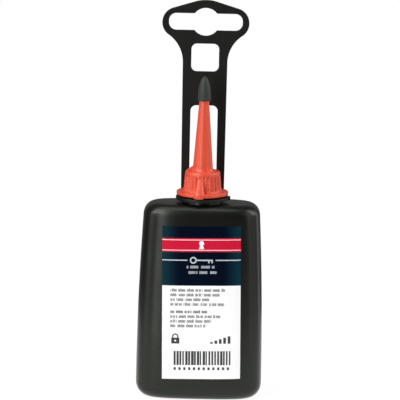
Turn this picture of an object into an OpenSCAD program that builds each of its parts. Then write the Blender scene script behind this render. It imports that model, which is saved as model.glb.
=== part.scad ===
// Flat squeeze bottle of graphite powder with a screw nozzle cap and a hanger.
// The origin is the centre of the flat base, under the neck. +Z is up and -Y is the front.

/* [Bottle] */
// Height of the body, from the base to the flat shoulder
bottle_h = 85.8; // [84:0.1:96]
// Width of the body low down
base_w = 54.8; // [52:0.2:58]
// Width of the body just under the shoulder
shoulder_w = 50.6; // [48:0.2:52]
// Depth of the body from front to back
bottle_d = 26; // [25:0.5:30]
// Thickness of the blow-moulded wall
bottle_wall = 1; // [0.8:0.1:1.4]
// Squareness of the body seen from above, where 2 is an ellipse
section_power = 3.4; // [2.8:0.1:4.5]
// Radius of the corners beside the base
base_corner_r = 6.5; // [5.5:0.5:9]
// Radius of the front and back edges of the base
base_edge_r = 5; // [3:0.5:6]
// Radius of the corners beside the shoulder
shoulder_corner_r = 5; // [4:0.5:7]
// Radius of the front and back edges of the shoulder
shoulder_edge_r = 4.5; // [3:0.5:5]
// Height of the air over the powder, up to the inside of the shoulder
headspace_h = 11.8; // [9:0.1:40]

/* [Neck] */
// Inner radius of the neck
neck_bore_r = 4.4; // [4:0.1:4.8]
// Thickness of the neck's wall
neck_wall = 1.2; // [1:0.1:1.4]
// Height of the low collar round the neck's foot, on which the hanger rests
collar_h = 1.1; // [0.8:0.1:2]
// Height of the neck's lip above the collar
neck_h = 10.4; // [10:0.1:13]
// Rise of the thread in one turn
thread_pitch = 3; // [2.8:0.1:3.1]
// Number of turns of each thread's ridge
thread_turns = 1.5; // [1:0.25:1.5]
// Height of the thread's ridge above the neck
thread_depth = 0.7; // [0.5:0.05:0.8]

/* [Nozzle cap] */
// Thickness of the skirt's wall at its foot
skirt_foot_wall = 1.8; // [1.6:0.1:2.2]
// Thickness of the skirt's wall at its top
skirt_top_wall = 1.1; // [1:0.1:1.4]
// Width that the flange stands out from the skirt
flange_w = 2.9; // [2:0.1:3.2]
// Thickness of the flange
flange_t = 1.5; // [0.8:0.1:1.8]
// Thickness of the roof over the neck
roof_t = 1.25; // [1.1:0.05:2]
// Number of flutes round the skirt
flute_count = 28; // [20:1:32]
// Length of the nozzle above the roof
nozzle_len = 37.5; // [30:0.5:45]
// Outer radius of the nozzle at its foot
nozzle_foot_r = 4.45; // [4.2:0.05:4.8]
// Outer radius of the nozzle at its tip
nozzle_tip_r = 1.6; // [1.5:0.05:1.9]
// Radius of the outlet in the nozzle's tip
outlet_r = 0.55; // [0.4:0.05:0.8]
// Radius of the passage at the nozzle's foot
passage_r = 3; // [2.6:0.1:3.2]
// Number of fins between the nozzle and the roof
fin_count = 3; // [2:1:6]
// Width of the tab at its foot
tab_w = 4.6; // [3.6:0.2:5.6]

/* [Tip cap] */
// Height of the tip cap
tip_h = 10.5; // [9:0.5:12]
// Outer radius of the tip cap's rim
tip_rim_r = 2.85; // [2.7:0.05:3.4]
// Length of the nozzle inside the tip cap
tip_grip = 6.7; // [5:0.1:7]

/* [Hanger] */
// Thickness of the upright plate
plate_t = 1.5; // [1.2:0.1:2]
// Width of the plate's stem at its foot
stem_w = 18.8; // [17:0.2:20]
// Width of the plate's stem under the head
stem_top_w = 19.4; // [17:0.2:20.4]
// Width of the tall window
window_w = 11.8; // [10:0.2:12.4]
// Height of the tall window
window_h = 35.2; // [25:0.2:40]
// Height of the bar under the tall window
foot_bar_h = 3.2; // [2.5:0.1:5]
// Height of the solid stem between the tall window and the square opening
bridge_h = 14.9; // [8:0.1:20]
// Width of the square opening
square_w = 12; // [9:0.2:12.6]
// Height of the square opening
square_h = 12.2; // [9:0.1:14]
// Height of the bar between the square opening and the hanging hole
head_bar_h = 3.4; // [2.4:0.1:4]
// Radius of the round middle of the hanging hole
euro_r = 6.1; // [5.5:0.1:6.5]
// Length of the slot across the hanging hole
slot_w = 32; // [29:0.5:35]
// Height of the slot across the hanging hole
slot_h = 7.4; // [6.8:0.1:9]
// Width of the rim round the ends of the slot
head_rim = 2.9; // [2.2:0.1:3.2]
// Distance of the head's round ends below the hole's centre
head_drop = 0.4; // [0:0.1:0.8]
// Slope of the head's two top edges, in degrees
roof_slope = 17; // [12:0.5:18]
// Thickness of the hanger's ring
ring_t = 1.4; // [1.2:0.1:2]
// Thickness of the film hinge between the ring and the plate
film_t = 0.35; // [0.25:0.05:0.5]

/* [Label] */
// Width of the label
label_w = 34.2; // [28:0.1:36]
// Height of the label's lower edge above the base
label_z = 10; // [9:0.1:14]
// Distance from the label's upper edge to the shoulder
label_top_drop = 8.5; // [6:0.1:25]
// Thickness of the label
label_t = 0.12; // [0.08:0.01:0.2]

/* [Hidden] */
$fn = 96;

// Overrun of a cut past the face that it opens, and how far a joined shape sinks in
cut = 0.5;
sink = 0.2;

// Clearances, each between two faces
powder_gap = 0.08;
label_gap = 0.03;
ring_seat_gap = 0.2;
ring_running_gap = 0.1;
tab_over_ring_gap = 0.3;
flange_over_tab_foot = 0.4;
plate_behind_tab_gap = 0.65;
film_end_gap = 0.02;
seal_gap = 0.05;
seal_side_gap = 0.15;
thread_flank_gap = 0.12;
thread_crest_gap = 0.2;
thread_root_gap = 0.15;
tip_fit_gap = 0.06;

// Top of the powder and height of the label, which follow the bottle's height
powder_top_z = bottle_h - bottle_wall - headspace_h;
label_h = bottle_h - label_top_drop - label_z;

// How finely the body of the bottle is divided
side_points = 48;
base_steps = 5;
wall_steps = 6;
shoulder_steps = 5;
label_columns = 16;
label_rows = 7;

// Neck, from the bore outwards
neck_r = neck_bore_r + neck_wall;
neck_crest_r = neck_r + thread_depth;
journal_step = 0.6;
journal_r = neck_crest_r + journal_step;
collar_step = 1.6;
collar_r = journal_r + collar_step;
collar_top_z = bottle_h + collar_h;
mouth_r = (neck_bore_r + journal_r) / 2;
neck_root_drop = 0.5;
neck_root_z = bottle_h - bottle_wall - neck_root_drop;
lip_z = collar_top_z + neck_h;

// Levels from the shoulder up: ring, tab, flange, seal, roof, nozzle and tip cap
ring_z = collar_top_z + ring_seat_gap;
ring_top_z = ring_z + ring_t;
tab_foot_z = ring_top_z + tab_over_ring_gap;
journal_top_z = tab_foot_z;
cap_z = tab_foot_z + flange_over_tab_foot;
flange_top_z = cap_z + flange_t;
seal_t = 0.85;
seal_z = lip_z + seal_gap;
ceiling_z = seal_z + seal_t + seal_gap;
cap_top_z = ceiling_z + roof_t;
nozzle_top_z = cap_top_z + nozzle_len;
tip_z = nozzle_top_z - tip_grip;

// Radii of the cap from its bore outwards
cap_bore_r = neck_crest_r + thread_crest_gap;
skirt_foot_r = cap_bore_r + skirt_foot_wall;
skirt_top_r = cap_bore_r + skirt_top_wall;
flange_r = skirt_foot_r + flange_w;
flange_edge = 0.3;
rim_chamfer = 0.5;
rim_h = 0.8;
flare_w = 0.55;
flare_h = 1.8;
seal_r = cap_bore_r - seal_side_gap;
seal_hole_r = (passage_r + neck_bore_r) / 2;

// Flutes, cut just outside the skirt's slope, which stop under the smooth rim
flute_r = 0.55;
flute_depth = 0.3;
flute_top_gap = 1.6;
flute_z = flange_top_z + sink;
flute_top_z = cap_top_z - flute_top_gap;

// Fins, each a wedge in the corner between the nozzle and the roof
fin_t = 1;
fin_h = 2.2;
fin_reach_r = skirt_top_r - rim_chamfer;
fin_edge_h = 0.25;
fin_first_angle = -62;

// Tab on the front of the skirt, from its narrow top to its foot past the flange
tab_angle = -8;
tab_out = 0.8;
tab_reach = flange_r + tab_out;
tab_foot_h = flange_over_tab_foot + flange_t;
tab_corner_r = 0.7;
tab_top_r = 1.1;
tab_top_drop = 3.4;
tab_sphere_points = 24;

// Thread: both ridges have one section, and the cap's ridge lies under the neck's
thread_root_half = thread_pitch / 4;
thread_crest_half = 0.12 * thread_pitch;
thread_step_angle = 10;
thread_fade_steps = 4;
cap_crest_r = neck_r + thread_root_gap;
neck_ridge_root_r = neck_r - sink;
cap_ridge_root_r = cap_bore_r + sink;
thread_start_gap = 0.45;
neck_half_share = (cap_crest_r - neck_ridge_root_r) / (neck_crest_r - neck_ridge_root_r);
neck_half_at_cap_crest =
    thread_root_half - neck_half_share * (thread_root_half - thread_crest_half);
cap_thread_z = cap_z + thread_root_half + thread_start_gap;
neck_thread_z =
    cap_thread_z + neck_half_at_cap_crest + thread_crest_half + thread_flank_gap;

// Hanger's ring, with the lug at its back that carries the film hinge
ring_margin = 0.25;
ring_r = flange_r + ring_margin;
ring_bore_r = journal_r + ring_running_gap;
film_len = 0.55;
plate_front_y = tab_reach + plate_behind_tab_gap;
lug_back_y = plate_front_y - film_len;
lug_front_y = ring_bore_r * sin(45);
nub_w = 2.5;
nub_len = 0.75;

// Hanger's plate, from the hinge line at its rounded foot upwards
hinge_y = plate_front_y + plate_t / 2;
hinge_z = ring_z + ring_t / 2;
film_inset = 1;
window_z = hinge_z + foot_bar_h;
square_z = window_z + window_h + bridge_h;
euro_z = square_z + square_h + head_bar_h + euro_r;
opening_corner_r = 2.4;
slot_corner_r = 3.2;
head_end_x = slot_w / 2 - slot_h / 2;
head_end_r = slot_h / 2 + head_rim;
head_z = euro_z - head_drop;
apex_r = 16;
flare_drop = 17.4;
flare_step_x = head_end_x - stem_top_w / 2;
stem_flare_r =
    (flare_step_x * flare_step_x + flare_drop * flare_drop - head_end_r * head_end_r)
    / (2 * (head_end_r + flare_step_x));
stem_flare_x = stem_top_w / 2 + stem_flare_r;
stem_flare_z = head_z - flare_drop;
flare_angle = atan2(head_z - stem_flare_z, head_end_x - stem_flare_x);
arc_steps = 10;

// Half width of the body's straight wall at height z, drawn in towards the shoulder
function wall_half_w(z) =
    let (share = (z - base_corner_r) / (bottle_h - shoulder_corner_r - base_corner_r))
    base_w / 2 - (base_w - shoulder_w) / 2 * pow(max(0, share), 2);

// How far a rounded edge of radius r has drawn in at distance d from its flat end
function edge_inset(d, r) = d >= r ? 0 : r - sqrt(r * r - pow(r - max(0, d), 2));

// Half width and half depth of the body at height z, inset from its outside
function half_w(z, inset) =
    wall_half_w(z) - inset
    - edge_inset(z - inset, base_corner_r - inset)
    - edge_inset(bottle_h - inset - z, shoulder_corner_r - inset);
function half_d(z, inset) =
    bottle_d / 2 - inset
    - edge_inset(z - inset, base_edge_r - inset)
    - edge_inset(bottle_h - inset - z, shoulder_edge_r - inset);

// Heights of the body's sections: round the base, up the wall and over the shoulder
function base_levels(inset) = [
    for (i = [0:base_steps])
        inset + (base_corner_r - inset) * (1 - cos(90 * i / base_steps))
];
function wall_levels(top_z) = [
    for (i = [1:wall_steps])
        base_corner_r + (top_z - base_corner_r) * i / wall_steps
];
function shoulder_levels(inset) = [
    for (i = [1:shoulder_steps])
        bottle_h - shoulder_corner_r
        + (shoulder_corner_r - inset) * sin(90 * i / shoulder_steps)
];
function body_levels(inset) = concat(
    base_levels(inset),
    wall_levels(bottle_h - shoulder_corner_r),
    shoulder_levels(inset)
);

// One section of the body: a closed ring of points between an ellipse and a rectangle
function section_share(v) = sign(v) * pow(abs(v), 2 / section_power);
function section(z, inset) = [
    for (i = [0:side_points - 1])
        let (t = 360 * i / side_points)
        [
            half_w(z, inset) * section_share(cos(t)),
            half_d(z, inset) * section_share(sin(t)),
            z
        ]
];
function mouth(z) = [
    for (p = section(z, 0))
        let (scale_to_mouth = mouth_r / norm([p.x, p.y]))
        [p.x * scale_to_mouth, p.y * scale_to_mouth, z]
];

// Place on the front of the body at width x and height z, standing out by a distance
function front_point(x, z, out) =
    let (share = pow(abs(x) / half_w(z, -out), section_power))
    [x, -half_d(z, -out) * pow(1 - share, 1 / section_power), z];

// Points of an arc about [x, z], from one angle to another
function arc(x, z, r, from, to) = [
    for (i = [0:arc_steps])
        let (t = from + (to - from) * i / arc_steps)
        [x + r * cos(t), z + r * sin(t)]
];

// Outline of an opening with its lower edge at z and round corners
function rounded_opening(w, h, z, r) = concat(
    arc(w / 2 - r, z + r, r, -90, 0),
    arc(w / 2 - r, z + h - r, r, 0, 90),
    arc(r - w / 2, z + h - r, r, 90, 180),
    arc(r - w / 2, z + r, r, 180, 270)
);

// Outer radius of the nozzle at height z, and of the tip cap at a share of its height
function nozzle_r(z) =
    nozzle_foot_r + (nozzle_tip_r - nozzle_foot_r) * (z - cap_top_z) / nozzle_len;
tip_power = 2.3;
tip_steps = 12;
function tip_r(share) = tip_rim_r * sqrt(1 - pow(share, tip_power));

// Section of a thread's ridge, whose crest is drawn back to its root where it fades
function ridge(root_r, crest_r, share) =
    let (r = root_r + (crest_r - root_r) * share)
    root_r < crest_r
        ? [[root_r, -thread_root_half], [root_r, thread_root_half],
           [r, thread_crest_half], [r, -thread_crest_half]]
        : [[r, -thread_crest_half], [r, thread_crest_half],
           [root_r, thread_root_half], [root_r, -thread_root_half]];

// Closed solid through a run of rings that have the same number of points
module skin(rings) {
    count = len(rings[0]);
    last = len(rings) - 1;
    sides = [
        for (i = [0:last - 1])
            for (j = [0:count - 1])
                let (a = i * count + j, b = i * count + (j + 1) % count)
                each [[a, a + count, b + count], [a, b + count, b]]
    ];
    first_end = [for (j = [0:count - 1]) j];
    last_end = [for (j = [0:count - 1]) (last + 1) * count - 1 - j];
    polyhedron([for (ring = rings) each ring], concat(sides, [first_end, last_end]), 10);
}

// Helical ridge of a right-hand thread that starts at height z
module thread_ridge(root_r, crest_r, z) {
    steps = thread_turns * 360 / thread_step_angle;
    skin([
        for (i = [0:steps])
            let (t = i * thread_step_angle)
            let (rise = thread_pitch * t / 360)
            let (share = min(1, (i + 1) / thread_fade_steps, (steps - i + 1) / thread_fade_steps))
            [for (p = ridge(root_r, crest_r, share)) [p.x * cos(t), p.x * sin(t), z + rise + p.y]]
    ]);
}

// Ring of one height with a straight bore
module tube(outer_r, inner_r, z, h) {
    translate([0, 0, z])
        difference() {
            cylinder(r = outer_r, h = h);
            translate([0, 0, -cut]) cylinder(r = inner_r, h = h + 2 * cut);
        }
}

// One closed shell: up the outside, in over the shoulder and down the inside
module bottle_body() {
    outer = [for (z = body_levels(0)) section(z, 0)];
    inner_levels = body_levels(bottle_wall);
    top = len(inner_levels) - 1;
    inner = [for (i = [0:top]) section(inner_levels[top - i], bottle_wall)];
    skin(concat(outer, [mouth(bottle_h)], [mouth(bottle_h - bottle_wall)], inner));
}

module bottle_neck() {
    difference() {
        union() {
            translate([0, 0, neck_root_z]) cylinder(r = neck_r, h = lip_z - neck_root_z);
            translate([0, 0, neck_root_z])
                cylinder(r = journal_r, h = journal_top_z - neck_root_z);
            translate([0, 0, bottle_h - sink]) cylinder(r = collar_r, h = collar_h + sink);
        }
        translate([0, 0, neck_root_z - cut])
            cylinder(r = neck_bore_r, h = lip_z - neck_root_z + 2 * cut);
    }
}

module bottle() {
    color([0.13, 0.14, 0.13])
        union() {
            bottle_body();
            bottle_neck();
            thread_ridge(neck_ridge_root_r, neck_crest_r, neck_thread_z);
        }
}

module graphite_powder() {
    inset = bottle_wall + powder_gap;
    levels = concat(base_levels(inset), wall_levels(powder_top_z));
    color([0.2, 0.2, 0.21]) skin([for (z = levels) section(z, inset)]);
}

module front_label() {
    color([0.05, 0.1, 0.16])
        skin([
            for (row = [0:label_rows])
                let (z = label_z + label_h * row / label_rows)
                concat(
                    [
                        for (i = [0:label_columns])
                            front_point(label_w * (i / label_columns - 0.5), z, label_gap + label_t)
                    ],
                    [
                        for (i = [0:label_columns])
                            front_point(label_w * (0.5 - i / label_columns), z, label_gap)
                    ]
                )
        ]);
}

module hanger_ring() {
    color([0.12, 0.13, 0.12])
        difference() {
            union() {
                translate([0, 0, ring_z]) cylinder(r = ring_r, h = ring_t);
                translate([-stem_w / 2, lug_front_y, ring_z])
                    cube([stem_w, lug_back_y - lug_front_y, ring_t]);
                translate([ring_r - sink, -nub_w / 2, ring_z])
                    cube([sink + nub_len, nub_w, ring_t]);
            }
            translate([0, 0, ring_z - cut]) cylinder(r = ring_bore_r, h = ring_t + 2 * cut);
        }
}

module hanger_film_hinge() {
    color([0.12, 0.13, 0.12])
        translate([film_inset - stem_w / 2, lug_back_y, hinge_z - film_t / 2])
            cube([stem_w - 2 * film_inset, film_len - film_end_gap, film_t]);
}

// Right half of the plate's outline, from the hinge line up to the top of the head
function plate_side() =
    let (up = 90 - roof_slope)
    let (roof_line = head_end_x * cos(up) + head_z * sin(up) + head_end_r)
    concat(
        [[stem_w / 2, hinge_z]],
        arc(stem_flare_x, stem_flare_z, stem_flare_r, 180, flare_angle),
        arc(head_end_x, head_z, head_end_r, flare_angle - 180, up),
        arc(0, (roof_line - apex_r) / sin(up), apex_r, up, 90)
    );

module plate_outline() {
    side = plate_side();
    last = len(side) - 1;
    polygon(concat(side, [for (i = [1:last]) [-side[last - i].x, side[last - i].y]]));
}

module plate_openings() {
    polygon(rounded_opening(window_w, window_h, window_z, opening_corner_r));
    polygon(rounded_opening(square_w, square_h, square_z, opening_corner_r));
    polygon(rounded_opening(slot_w, slot_h, euro_z - slot_h / 2, slot_corner_r));
    translate([0, euro_z]) circle(r = euro_r);
}

module hanger_plate() {
    color([0.12, 0.13, 0.12])
        union() {
            translate([0, plate_front_y + plate_t, 0])
                rotate([90, 0, 0])
                    linear_extrude(plate_t)
                        difference() {
                            plate_outline();
                            plate_openings();
                        }
            translate([-stem_w / 2, hinge_y, hinge_z])
                rotate([0, 90, 0]) cylinder(r = plate_t / 2, h = stem_w);
        }
}

module sealing_washer() {
    color([0.85, 0.84, 0.8]) tube(seal_r, seal_hole_r, seal_z, seal_t);
}

// Turned form of the cap: flange, skirt, chamfered rim, flared foot and nozzle
module cap_body() {
    rotate_extrude()
        polygon([
            [0, cap_z],
            [flange_r - flange_edge, cap_z],
            [flange_r, cap_z + flange_edge],
            [flange_r, flange_top_z - flange_edge],
            [flange_r - flange_edge, flange_top_z],
            [skirt_foot_r, flange_top_z],
            [skirt_top_r, cap_top_z - rim_h],
            [skirt_top_r - rim_chamfer, cap_top_z],
            [nozzle_foot_r + flare_w, cap_top_z],
            [nozzle_r(cap_top_z + flare_h), cap_top_z + flare_h],
            [nozzle_tip_r, nozzle_top_z],
            [0, nozzle_top_z]
        ]);
}

module cap_hollow() {
    translate([0, 0, cap_z - cut]) cylinder(r = cap_bore_r, h = ceiling_z - cap_z + cut);
    rotate_extrude()
        polygon([
            [0, ceiling_z - cut],
            [passage_r, ceiling_z - cut],
            [passage_r, ceiling_z],
            [outlet_r, nozzle_top_z],
            [outlet_r, nozzle_top_z + cut],
            [0, nozzle_top_z + cut]
        ]);
}

module flutes() {
    height = cap_top_z - rim_h - flange_top_z;
    lean = atan((skirt_foot_r - skirt_top_r) / height);
    out = flute_r - flute_depth;
    for (i = [0:flute_count - 1])
        rotate([0, 0, 360 * (i + 0.5) / flute_count])
            translate([skirt_foot_r + out, 0, flute_z])
                rotate([0, -lean, 0]) cylinder(r = flute_r, h = (flute_top_z - flute_z) / cos(lean));
}

module fins() {
    for (i = [0:fin_count - 1])
        rotate([0, 0, fin_first_angle + 360 * i / fin_count])
            translate([0, fin_t / 2, 0])
                rotate([90, 0, 0])
                    linear_extrude(fin_t)
                        polygon([
                            [nozzle_foot_r - sink, cap_top_z - sink],
                            [fin_reach_r, cap_top_z - sink],
                            [fin_reach_r, cap_top_z + fin_edge_h],
                            [nozzle_foot_r - sink, cap_top_z + fin_h]
                        ]);
}

module tab() {
    rotate([0, 0, tab_angle])
        hull() {
            translate([0, tab_top_r - skirt_top_r - flute_r, cap_top_z - tab_top_drop])
                sphere(r = tab_top_r, $fn = tab_sphere_points);
            for (side = [-1, 1]) {
                translate([side * (tab_w / 2 - tab_corner_r), tab_corner_r - tab_reach, tab_foot_z])
                    cylinder(r = tab_corner_r, h = tab_foot_h, $fn = tab_sphere_points);
                translate([side * (tab_w / 2 - tab_corner_r), -skirt_foot_r, tab_foot_z])
                    cylinder(r = tab_corner_r, h = tab_foot_h, $fn = tab_sphere_points);
            }
        }
}

module nozzle_cap() {
    color([0.92, 0.27, 0.16])
        union() {
            difference() {
                union() {
                    difference() {
                        cap_body();
                        flutes();
                    }
                    tab();
                    fins();
                }
                cap_hollow();
            }
            thread_ridge(cap_ridge_root_r, cap_crest_r, cap_thread_z);
        }
}

module tip_cap() {
    color([0.3, 0.31, 0.29])
        rotate_extrude()
            difference() {
                polygon(concat(
                    [[0, tip_z]],
                    [for (i = [0:tip_steps]) [tip_r(i / tip_steps), tip_z + tip_h * i / tip_steps]]
                ));
                polygon([
                    [0, tip_z - cut],
                    [nozzle_r(tip_z) + tip_fit_gap, tip_z - cut],
                    [nozzle_r(tip_z) + tip_fit_gap, tip_z],
                    [nozzle_tip_r + tip_fit_gap, nozzle_top_z + tip_fit_gap],
                    [0, nozzle_top_z + tip_fit_gap]
                ]);
            }
}

bottle();
graphite_powder();
front_label();
hanger_ring();
hanger_film_hinge();
hanger_plate();
sealing_washer();
nozzle_cap();
tip_cap();
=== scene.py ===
import logging
import math
from collections.abc import Callable, Iterable, Mapping, Sequence
from dataclasses import dataclass
from enum import Enum
from functools import reduce

import bmesh
import bpy
from mathutils import Matrix, Vector


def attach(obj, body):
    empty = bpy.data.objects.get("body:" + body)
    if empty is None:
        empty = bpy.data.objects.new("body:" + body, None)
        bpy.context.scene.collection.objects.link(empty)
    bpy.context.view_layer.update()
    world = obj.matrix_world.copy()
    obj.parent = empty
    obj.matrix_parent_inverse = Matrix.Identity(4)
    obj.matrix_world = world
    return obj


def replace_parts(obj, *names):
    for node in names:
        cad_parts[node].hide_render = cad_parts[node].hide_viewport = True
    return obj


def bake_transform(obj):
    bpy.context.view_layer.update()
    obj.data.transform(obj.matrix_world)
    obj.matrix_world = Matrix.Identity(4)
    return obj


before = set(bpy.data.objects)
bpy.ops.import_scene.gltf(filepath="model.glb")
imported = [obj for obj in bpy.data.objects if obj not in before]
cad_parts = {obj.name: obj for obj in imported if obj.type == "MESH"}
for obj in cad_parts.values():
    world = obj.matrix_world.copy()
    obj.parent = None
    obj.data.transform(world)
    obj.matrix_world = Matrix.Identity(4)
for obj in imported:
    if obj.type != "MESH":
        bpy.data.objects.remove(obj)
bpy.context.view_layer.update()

LOG = logging.getLogger("graphite_bottle")

MM = 0.001
FULL_TURN = 360.0
SHARP_ANGLE = 32.0
MIX_FIRST, MIX_SECOND, MIX_RESULT = 6, 7, 2

Point = tuple[float, float, float]
Flat = tuple[float, float]
Numbers = tuple[float, ...]
Colour = tuple[float, float, float, float]
Loop = Sequence[bmesh.types.BMVert]
Piece = bpy.types.Object
Material = bpy.types.Material
Socket = bpy.types.NodeSocket


class Axis(Enum):
    """The way in which a slab's outline lies in the object."""

    UPRIGHT = "outline in X and Z, thickness along Y"
    LEVEL = "outline in X and Y, thickness along Z"


def polar(r: float, degrees: float) -> Flat:
    """Returns the point at radius r and an angle from the first axis."""
    return r * math.cos(math.radians(degrees)), r * math.sin(math.radians(degrees))


def spread(start: float, end: float, count: int) -> list[float]:
    """Returns count + 1 even values from start to end."""
    return [start + (end - start) * i / count for i in range(count + 1)]


def ease(value: float) -> float:
    """Returns a smooth step from 0 to 1 for a value from 0 to 1."""
    share = min(1.0, max(0.0, value))
    return share * share * (3 - 2 * share)


def circle(r: float, z: float, columns: int) -> list[Point]:
    """Returns a ring of points about the object's axis, or one point at no radius."""
    turns = [FULL_TURN * i / columns for i in range(columns if r else 1)]
    return [(*polar(r, turn), z) for turn in turns]


def arc(centre: Flat, r: float, start: float, end: float, steps: int) -> list[Flat]:
    """Returns the points of a circular arc from a first to a last angle, in even steps."""
    turned = (polar(r, turn) for turn in spread(start, end, steps))
    return [(centre[0] + x, centre[1] + y) for x, y in turned]


def top_corners(half: float, top: float, r: float, steps: int) -> list[Flat]:
    """Returns the two rounded upper corners of a box, from right to left."""
    right, left = (half - r, top - r), (r - half, top - r)
    return arc(right, r, 0, 90, steps) + arc(left, r, 90, 180, steps)


def rounded_box(half: float, low: float, high: float, r: float, steps: int) -> list[Flat]:
    """Draws a box with round corners, counter-clockwise from its lower right one.

    Args:
        half: Half its width.
        low: Height of its foot.
        high: Height of its top.
        r: Radius of its corners.
        steps: Number of chords in a corner.

    Returns:
        The points of its outline.
    """
    right, left = (half - r, low + r), (r - half, low + r)
    corners = arc(right, r, -90, 0, steps) + top_corners(half, high, r, steps)
    return corners + arc(left, r, 180, 270, steps)


class MeshMaker:
    """Collects points in millimetres and faces, and turns them into one object."""

    def __init__(self, name: str) -> None:
        """Starts an empty mesh for the piece of that name."""
        self.name = name
        self.bm = bmesh.new()

    def band(self, low: Loop, high: Loop, closed: bool = True) -> None:
        """Joins two runs of vertices with quads, or a run and one pole with triangles.

        Args:
            low: First run.
            high: Second run, as long as the first unless one of them is a pole.
            closed: Whether the last vertex joins the first again.
        """
        count = max(len(low), len(high))
        for i in range(count if closed else count - 1):
            j = (i + 1) % count
            around = ((low, i), (low, j), (high, j), (high, i))
            corners = list(dict.fromkeys(run[k % len(run)] for run, k in around))
            if len(corners) > 2:
                self.bm.faces.new(corners)

    def skin(self, rows: Iterable[Iterable[Point]], looped: bool = False) -> list[Loop]:
        """Joins closed rows of points into one surface.

        Args:
            rows: Rows of points, one point alone being a pole.
            looped: Whether the last row joins the first again.

        Returns:
            The vertices of each row.
        """
        rings = [[self.bm.verts.new(point) for point in row] for row in rows]
        for low, high in zip(rings, [*rings[1:], rings[0]] if looped else rings[1:]):
            self.band(low, high)
        return rings

    def sheet(self, rows: Iterable[Sequence[Sequence[Point]]]) -> None:
        """Builds a thin closed sheet.

        Args:
            rows: The points across its one face and across its other face, row by row.
        """
        rings = self.skin([*face, *reversed(back)] for face, back in rows)
        for ring in (rings[0], rings[-1]):
            half = len(ring) // 2
            self.band(ring[:half], ring[: half - 1 : -1], closed=False)

    def fill(self, *loops: Loop) -> None:
        """Fills a flat region with triangles.

        Args:
            loops: The region's closed outline and those of its holes.
        """
        pairs = [pair for loop in loops for pair in zip(loop, [*loop[1:], loop[0]])]
        edges = [self.bm.edges.get(pair) or self.bm.edges.new(pair) for pair in pairs]
        bmesh.ops.triangle_fill(self.bm, use_beauty=True, edges=edges)

    def finish(self) -> Piece:
        """Makes the object, with its sharp edges marked by their angle.

        Returns:
            The new object, linked to the scene.
        """
        mesh = bpy.data.meshes.new(self.name)
        bmesh.ops.scale(self.bm, vec=(MM, MM, MM), verts=self.bm.verts)
        self.bm.to_mesh(mesh)
        self.bm.free()
        smooth_between_sharp_edges(mesh)
        piece = bpy.data.objects.new(self.name, mesh)
        bpy.context.scene.collection.objects.link(piece)
        return piece


def smooth_between_sharp_edges(mesh: bpy.types.Mesh) -> None:
    """Turns the faces outward, shades them smooth and marks the sharp edges.

    Args:
        mesh: Mesh that is changed.
    """
    bm = bmesh.new()
    bm.from_mesh(mesh)
    bmesh.ops.recalc_face_normals(bm, faces=bm.faces)
    for face in bm.faces:
        face.smooth = True
    limit = math.radians(SHARP_ANGLE)
    for edge in bm.edges:
        edge.smooth = len(edge.link_faces) == 2 and edge.calc_face_angle() < limit
    bm.to_mesh(mesh)
    bm.free()


def fuse(base: Piece, additions: Sequence[Piece]) -> None:
    """Joins closed shapes into one moulding.

    Args:
        base: Object that takes the joined mesh.
        additions: Closed shapes that sink into it, which are deleted.
    """
    for addition in additions:
        join = base.modifiers.new("join", "BOOLEAN")
        join.operation = "UNION"
        join.solver = "EXACT"
        join.object = addition
    evaluated = base.evaluated_get(bpy.context.evaluated_depsgraph_get())
    mesh = bpy.data.meshes.new_from_object(evaluated)
    base.modifiers.clear()
    base.data = mesh
    smooth_between_sharp_edges(mesh)
    for addition in additions:
        bpy.data.objects.remove(addition)


def flatten_shading(piece: Piece) -> None:
    """Lets the large faces lead the shading, so that flat sides look flat."""
    weigh = piece.modifiers.new("flat sides", "WEIGHTED_NORMAL")
    weigh.keep_sharp = True


@dataclass(frozen=True)
class Slab:
    """Flat moulded shape of one thickness with rounded edges, in millimetres."""

    low: float
    high: float
    edge: float
    axis: Axis
    steps: int

    def _corners(
        self, loop: Sequence[Flat], depth: Callable[[Flat], float]
    ) -> list[tuple[Flat, Flat, float]]:
        """Works out each point's way into the material, which lies on the loop's left.

        Args:
            loop: Closed outline.
            depth: Rounding radius at a point.

        Returns:
            Each point with its inset vector and its rounding radius.
        """
        corners = []
        for i, here in enumerate(loop):
            before, after = loop[i - 1], loop[(i + 1) % len(loop)]
            first = Vector((here[0] - before[0], here[1] - before[1])).normalized()
            second = Vector((after[0] - here[0], after[1] - here[1])).normalized()
            left = Vector((-first.y, first.x)) + Vector((-second.y, second.x))
            left /= 1 + first.dot(second)
            r = depth(here)
            corners.append((here, (left.x * self.edge, left.y * r), r))
        return corners

    def place(self, u: float, v: float, w: float) -> Point:
        """Returns the point in the object for one in the slab's own directions."""
        return (u, w, v) if self.axis is Axis.UPRIGHT else (u, v, w)

    def add(
        self,
        maker: MeshMaker,
        outer: Sequence[Flat],
        holes: Sequence[Sequence[Flat]] = (),
        depth: Callable[[Flat], float] | None = None,
        place: Callable[[float, float, float], Point] | None = None,
    ) -> None:
        """Builds the slab.

        Args:
            maker: Mesh that takes it.
            outer: Outline, counter-clockwise.
            holes: Outlines of the openings, clockwise.
            depth: Rounding radius at a point, the edge's own if it isn't given.
            place: Own way from the slab's directions to the object's.
        """
        put = place or self.place
        rise = spread(0.0, 90.0, self.steps)
        walk = [(turn, True) for turn in rise] + [(turn, False) for turn in reversed(rise)]
        ends: tuple[list[Loop], list[Loop]] = ([], [])
        for loop in (outer, *holes):
            corners = self._corners(loop, depth or (lambda _: self.edge))
            rows = []
            for turn, lower in walk:
                along, up = polar(1.0, turn)
                row = []
                for (u, v), (in_u, in_v), r in corners:
                    down = r * (1 - along)
                    w = self.low + down if lower else self.high - down
                    row.append(put(u + in_u * (1 - up), v + in_v * (1 - up), w))
                rows.append(row)
            rings = maker.skin(rows)
            ends[0].append(rings[0])
            ends[1].append(rings[-1])
        for loops in ends:
            maker.fill(*loops)


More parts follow.
